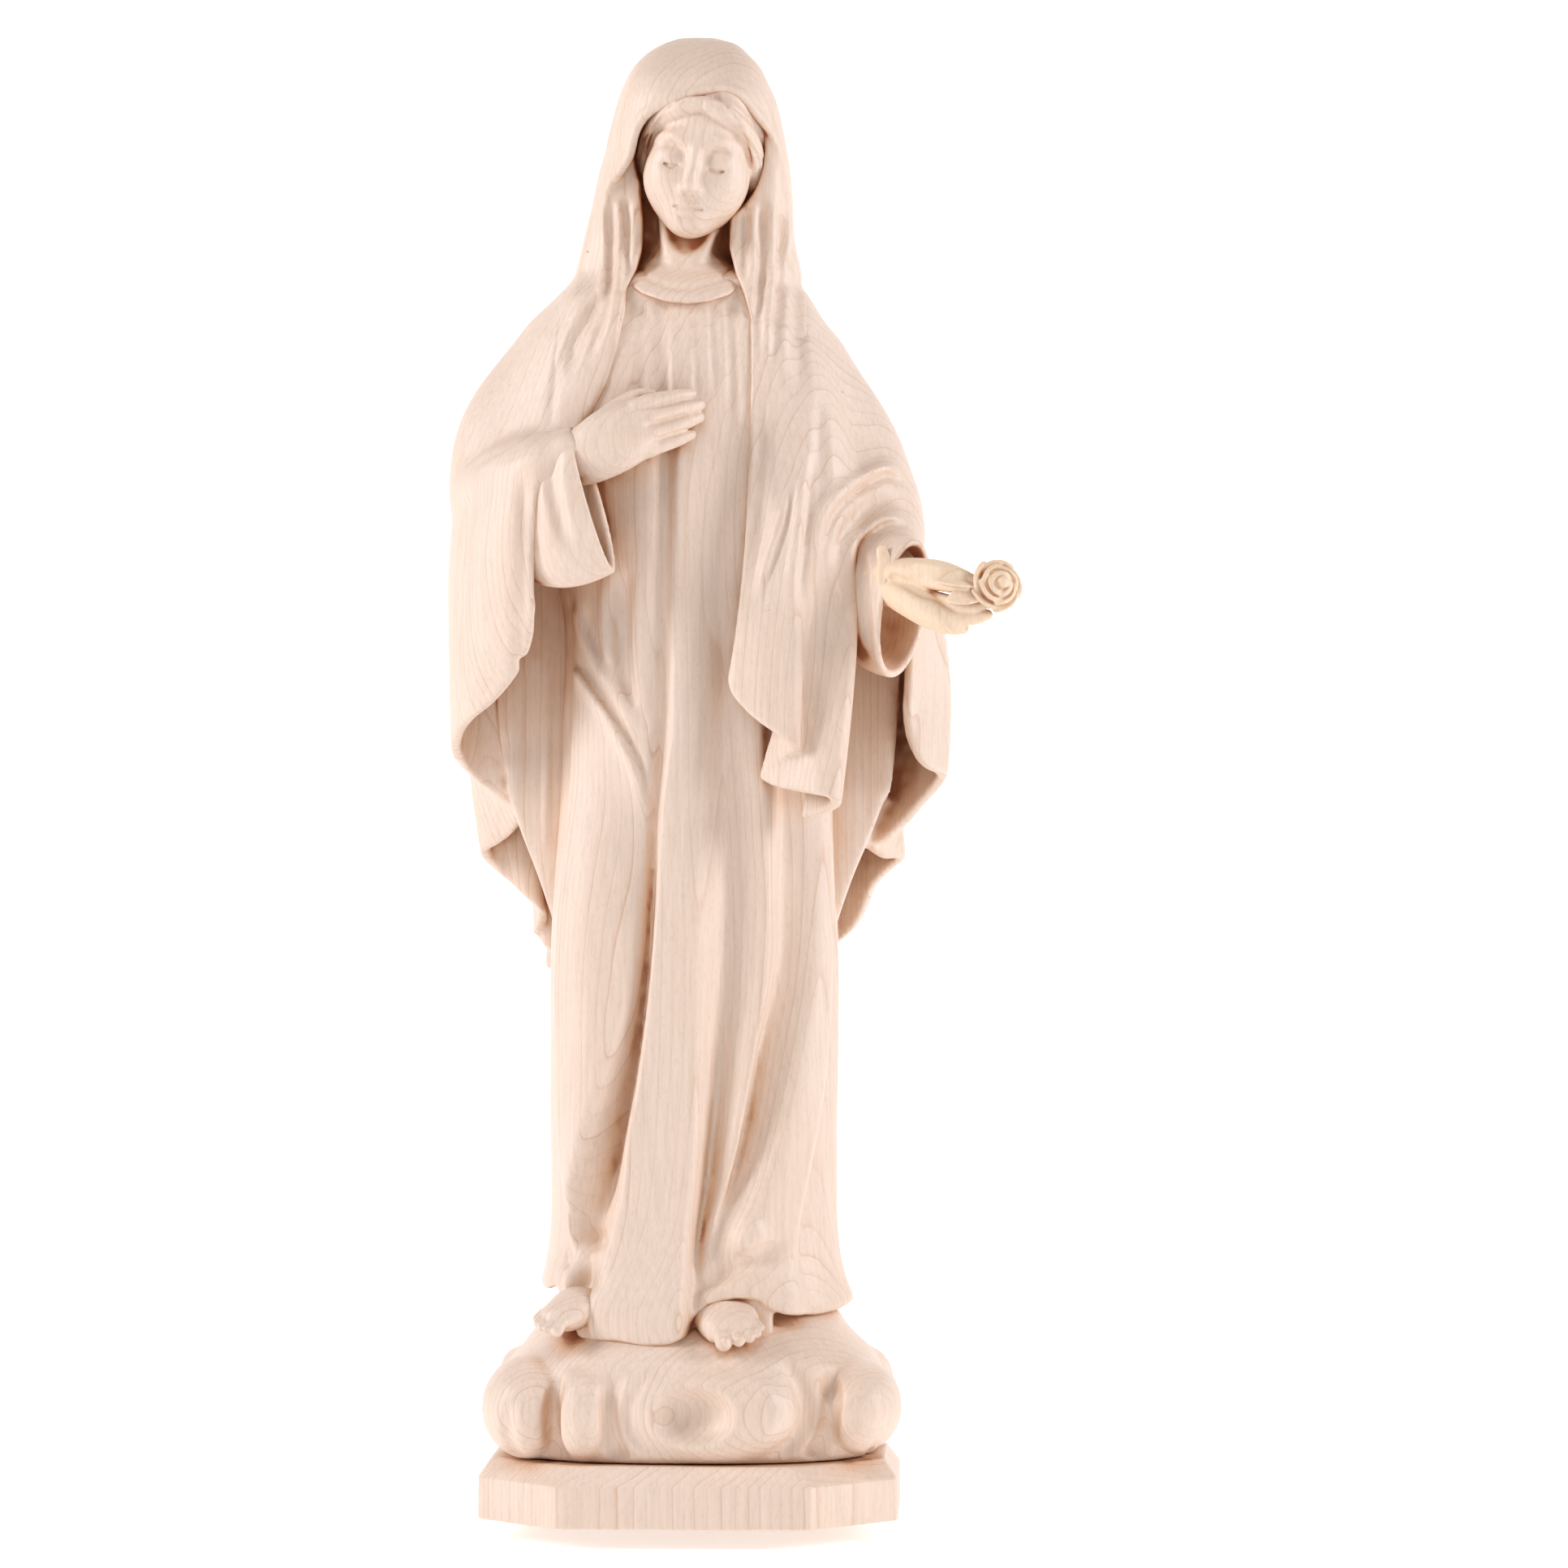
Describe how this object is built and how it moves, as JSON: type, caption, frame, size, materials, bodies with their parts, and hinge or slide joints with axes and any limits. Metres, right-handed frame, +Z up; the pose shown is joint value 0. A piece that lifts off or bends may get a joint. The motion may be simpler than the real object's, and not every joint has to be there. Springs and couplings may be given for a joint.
{
  "type": "madonna statue",
  "caption": "Carved wooden standing madonna with veil and mantle, one hand on the chest and one holding a rose, on a cloud and a chamfered plinth.",
  "frame": {"origin": "centre of the plinth's underside", "axes": "+Z up, the figure faces -Y, +X to the viewer's right (the figure's left)"},
  "size_m": [0.1545, 0.0942, 0.4],
  "materials": {
    "maple": "fine-sanded pale maple, unvarnished",
    "insert_wood": "fine-sanded pale yellow wood",
    "dowel_wood": "plain dowel"
  },
  "bodies": {
    "root": {"plinth": "maple", "cloud_base": "maple", "gown": "maple", "mantle": "maple", "veil": "maple", "head": "maple", "right_sleeve": "maple", "left_sleeve": "maple", "right_hand": "maple", "left_hand": "insert_wood", "rose_blossom": "insert_wood", "rose_stem": "insert_wood", "rose_leaf": "insert_wood", "right_foot": "maple", "left_foot": "maple", "plinth_dowel_right": "dowel_wood", "plinth_dowel_left": "dowel_wood", "figure_dowel_right": "dowel_wood", "figure_dowel_left": "dowel_wood", "neck_dowel": "dowel_wood", "right_wrist_dowel": "dowel_wood", "left_wrist_dowel": "dowel_wood"}
  },
  "joints": []
}
